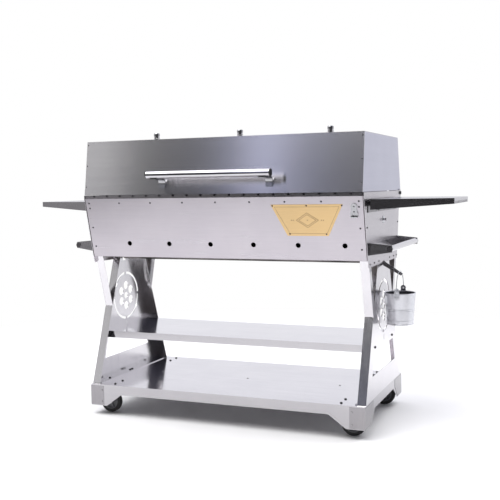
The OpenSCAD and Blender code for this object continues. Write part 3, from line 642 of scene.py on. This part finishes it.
def studio_floor():
    """A round pale floor that fades out into the white of the studio."""
    radius, fade_from = 3.0, 2.4
    mesh = bpy.data.meshes.new("floor")
    build = bmesh.new()
    bmesh.ops.create_circle(build, cap_ends=True, segments=96, radius=radius)
    build.to_mesh(mesh)
    build.free()
    obj = bpy.data.objects.new("floor", mesh)
    scene.collection.objects.link(obj)
    material, tree, shader = node_tree("floor_white")
    speckle = noise(tree, (3, 3, 3), 3.0)
    tree.links.new(colour_mix(tree, speckle, (0.90, 0.895, 0.90), (0.93, 0.925, 0.93)),
                   shader.inputs["Base Color"])
    shader.inputs["Roughness"].default_value = 0.8
    shader.inputs["Specular IOR Level"].default_value = 0.1
    coords = tree.nodes.new("ShaderNodeTexCoord")
    reach = tree.nodes.new("ShaderNodeVectorMath")
    reach.operation = "LENGTH"
    tree.links.new(coords.outputs["Object"], reach.inputs[0])
    fade = remap(tree, reach.outputs["Value"], 1.0, 0.0, fade_from, radius)
    tree.links.new(fade, shader.inputs["Alpha"])
    obj.data.materials.append(material)


def soft_box(name, place, target, size, power):
    """A rectangular light in a place, aimed at a target, with its power in watts."""
    data = bpy.data.lights.new(name, "AREA")
    data.shape = "RECTANGLE"
    data.size, data.size_y = size
    data.energy = power
    obj = bpy.data.objects.new(name, data)
    obj.location = place
    obj.rotation_euler = (Vector(target) - Vector(place)).to_track_quat("-Z", "Y").to_euler()
    scene.collection.objects.link(obj)
    return obj


def grey(value, blue=1.0):
    """A grey with its blue multiplied, and its green raised by a little of that."""
    return (value, value * (1 + (blue - 1) * 0.12), value * blue, 1.0)


def studio_world():
    """A white studio behind the object, and darker walls with pale cards behind the camera.

    The steel reflects it. The camera itself sees plain white wherever the object isn't.
    """
    world = bpy.data.worlds.new("studio")
    scene.world = world
    world.use_nodes = True
    tree = world.node_tree
    nodes, links = tree.nodes, tree.links

    def math_node(kind, a, b=0.0, clamp=False):
        node = nodes.new("ShaderNodeMath")
        node.operation = kind
        node.use_clamp = clamp
        for socket, value in zip(node.inputs, (a, b)):
            if isinstance(value, (int, float)):
                socket.default_value = value
            else:
                links.new(value, socket)
        return node.outputs[0]

    def step(value, low, high):
        node = nodes.new("ShaderNodeMapRange")
        node.interpolation_type = "SMOOTHSTEP"
        node.inputs["From Min"].default_value = low
        node.inputs["From Max"].default_value = high
        links.new(value, node.inputs["Value"])
        return node.outputs["Result"]

    def ramp(value, stops):
        node = nodes.new("ShaderNodeValToRGB")
        elements = node.color_ramp.elements
        for element, (place, colour) in zip((elements[0], elements[1]), (stops[0], stops[-1])):
            element.position = place
            element.color = colour
        for place, colour in stops[1:-1]:
            elements.new(place).color = colour
        links.new(value, node.inputs["Fac"])
        return node.outputs["Color"]

    def mix(factor, a, b):
        node = nodes.new("ShaderNodeMix")
        node.data_type = "RGBA"
        links.new(factor, node.inputs["Factor"])
        for socket, value in ((node.inputs["A"], a), (node.inputs["B"], b)):
            if isinstance(value, tuple):
                socket.default_value = value
            else:
                links.new(value, socket)
        return node.outputs["Result"]

    coords = nodes.new("ShaderNodeTexCoord")
    axes = nodes.new("ShaderNodeSeparateXYZ")
    links.new(coords.outputs["Generated"], axes.inputs["Vector"])
    x, y, z = axes.outputs
    # Looking towards -Y, sideways is 0 straight ahead and anywhere on the +X side, and it rises to 1
    # at 45 degrees on the -X side
    sideways = math_node("DIVIDE", x, math_node("MINIMUM", y, -0.05), clamp=True)
    wall = ramp(sideways, [
        (0.00, grey(0.12, 1.5)), (0.27, grey(0.06, 1.5)), (0.31, grey(0.15, 1.5)),
        (0.345, grey(0.28, 1.5)), (0.38, grey(0.48, 1.45)), (0.40, grey(1.08, 1.4)),
        (0.43, grey(1.08, 1.4)), (0.455, grey(0.40, 1.45)), (0.49, grey(0.16, 1.4)),
        (0.53, grey(0.10, 1.2)), (0.61, grey(0.12)), (0.635, grey(0.50)),
        (0.655, grey(0.98)), (1.0, grey(0.96))])
    skirting = ramp(sideways, [(0.0, grey(0.06)), (0.56, grey(0.07)), (0.63, grey(0.34)),
                               (1.0, grey(0.45))])
    above = ramp(sideways, [(0.0, grey(0.06)), (0.45, grey(0.08)), (0.62, grey(0.5)),
                            (1.0, grey(0.62))])
    # Up the front from below: the skirting, the wall, what is above it, and a white ceiling
    front = mix(step(z, 0.14, 0.22), skirting, wall)
    front = mix(step(z, 0.36, 0.48), front, above)
    front = mix(step(z, 0.80, 0.95), front, grey(0.9))
    back = mix(step(z, 0.0, 0.5), grey(0.94, 1.04), grey(0.90, 1.10))
    around = mix(step(y, -0.12, 0.10), front, back)
    path = nodes.new("ShaderNodeLightPath")
    seen = mix(path.outputs["Is Camera Ray"], around, grey(1.0))
    links.new(seen, nodes["Background"].inputs["Color"])
    nodes["Background"].inputs["Strength"].default_value = 1.0


studio_camera()
studio_floor()
studio_world()
soft_box("key", place=(-1.2, -1.6, 4.6), target=(0, 0, 0), size=(5.0, 4.0), power=260)
fill = soft_box("fill", place=(2.4, 2.2, 4.0), target=(0, 0, 0.2), size=(3.0, 3.0), power=110)
fill.visible_glossy = False               # its reflection would burn out the hood's top from behind
